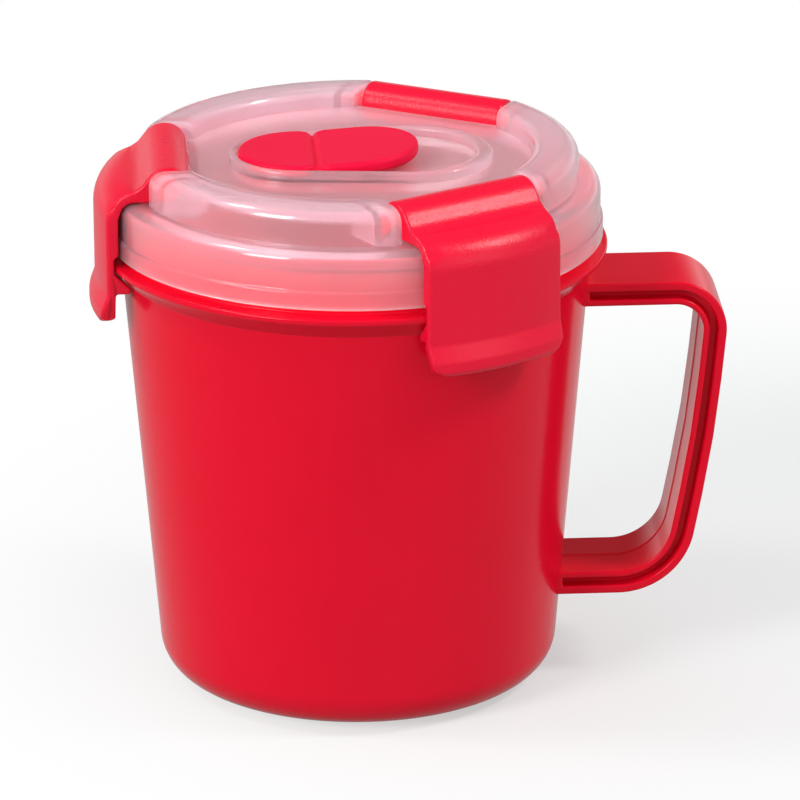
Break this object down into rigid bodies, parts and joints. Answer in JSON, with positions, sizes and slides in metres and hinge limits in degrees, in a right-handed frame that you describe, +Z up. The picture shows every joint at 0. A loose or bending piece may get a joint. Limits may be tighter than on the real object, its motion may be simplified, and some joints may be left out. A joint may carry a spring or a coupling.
{
  "type": "soup mug",
  "caption": "Lidded soup mug with a strap handle, a clear clip-on lid on hinged side clips, a soft seal under the lid and a soft lift-up steam vent.",
  "frame": {"origin": "centre of the foot ring, on the cup's axis, at the level of the table", "axes": "+Z up along the cup's axis, +X towards the handle"},
  "size_m": [0.1438, 0.1174, 0.1266],
  "materials": {
    "cup_red": "glossy moulded",
    "clip_red": "fine satin grain",
    "lid_clear": "translucent natural, softly glossy",
    "seal_soft": "translucent silicone",
    "vent_red": "matte silicone"
  },
  "bodies": {
    "mug": {"mug_body": "cup_red", "handle": "cup_red"},
    "lid": {"lid": "lid_clear", "lid_seal": "seal_soft", "vent_plug": "vent_red"},
    "clip_left": {"clip_left": "clip_red"},
    "clip_front": {"clip_front": "clip_red"},
    "clip_back": {"clip_back": "clip_red"},
    "vent_flap": {"vent_flap": "vent_red"}
  },
  "joints": [
    {"name": "lid_lift", "type": "slide", "parent": "mug", "child": "lid", "axis": [0, 0, 1], "range_m": [0, 0.014]},
    {"name": "clip_left_hinge", "type": "hinge", "parent": "lid", "child": "clip_left", "pos_m": [-0.04224, 0, 0.1218], "axis": [0, 1, 0], "range_deg": [0, 121]},
    {"name": "clip_front_hinge", "type": "hinge", "parent": "lid", "child": "clip_front", "pos_m": [0.02112, -0.03658, 0.1218], "axis": [-0.866, -0.5, 0], "range_deg": [0, 121]},
    {"name": "clip_back_hinge", "type": "hinge", "parent": "lid", "child": "clip_back", "pos_m": [0.02112, 0.03658, 0.1218], "axis": [0.866, -0.5, 0], "range_deg": [0, 121]},
    {"name": "vent_flap_fold", "type": "hinge", "parent": "lid", "child": "vent_flap", "pos_m": [-0.0091, 0, 0.1238], "axis": [0, -1, 0], "range_deg": [0, 95]}
  ],
  "couplings": [
    {"joint": "clip_left_hinge", "follows": "lid_lift", "rad_per_m": 150},
    {"joint": "clip_front_hinge", "follows": "lid_lift", "rad_per_m": 150},
    {"joint": "clip_back_hinge", "follows": "lid_lift", "rad_per_m": 150}
  ]
}
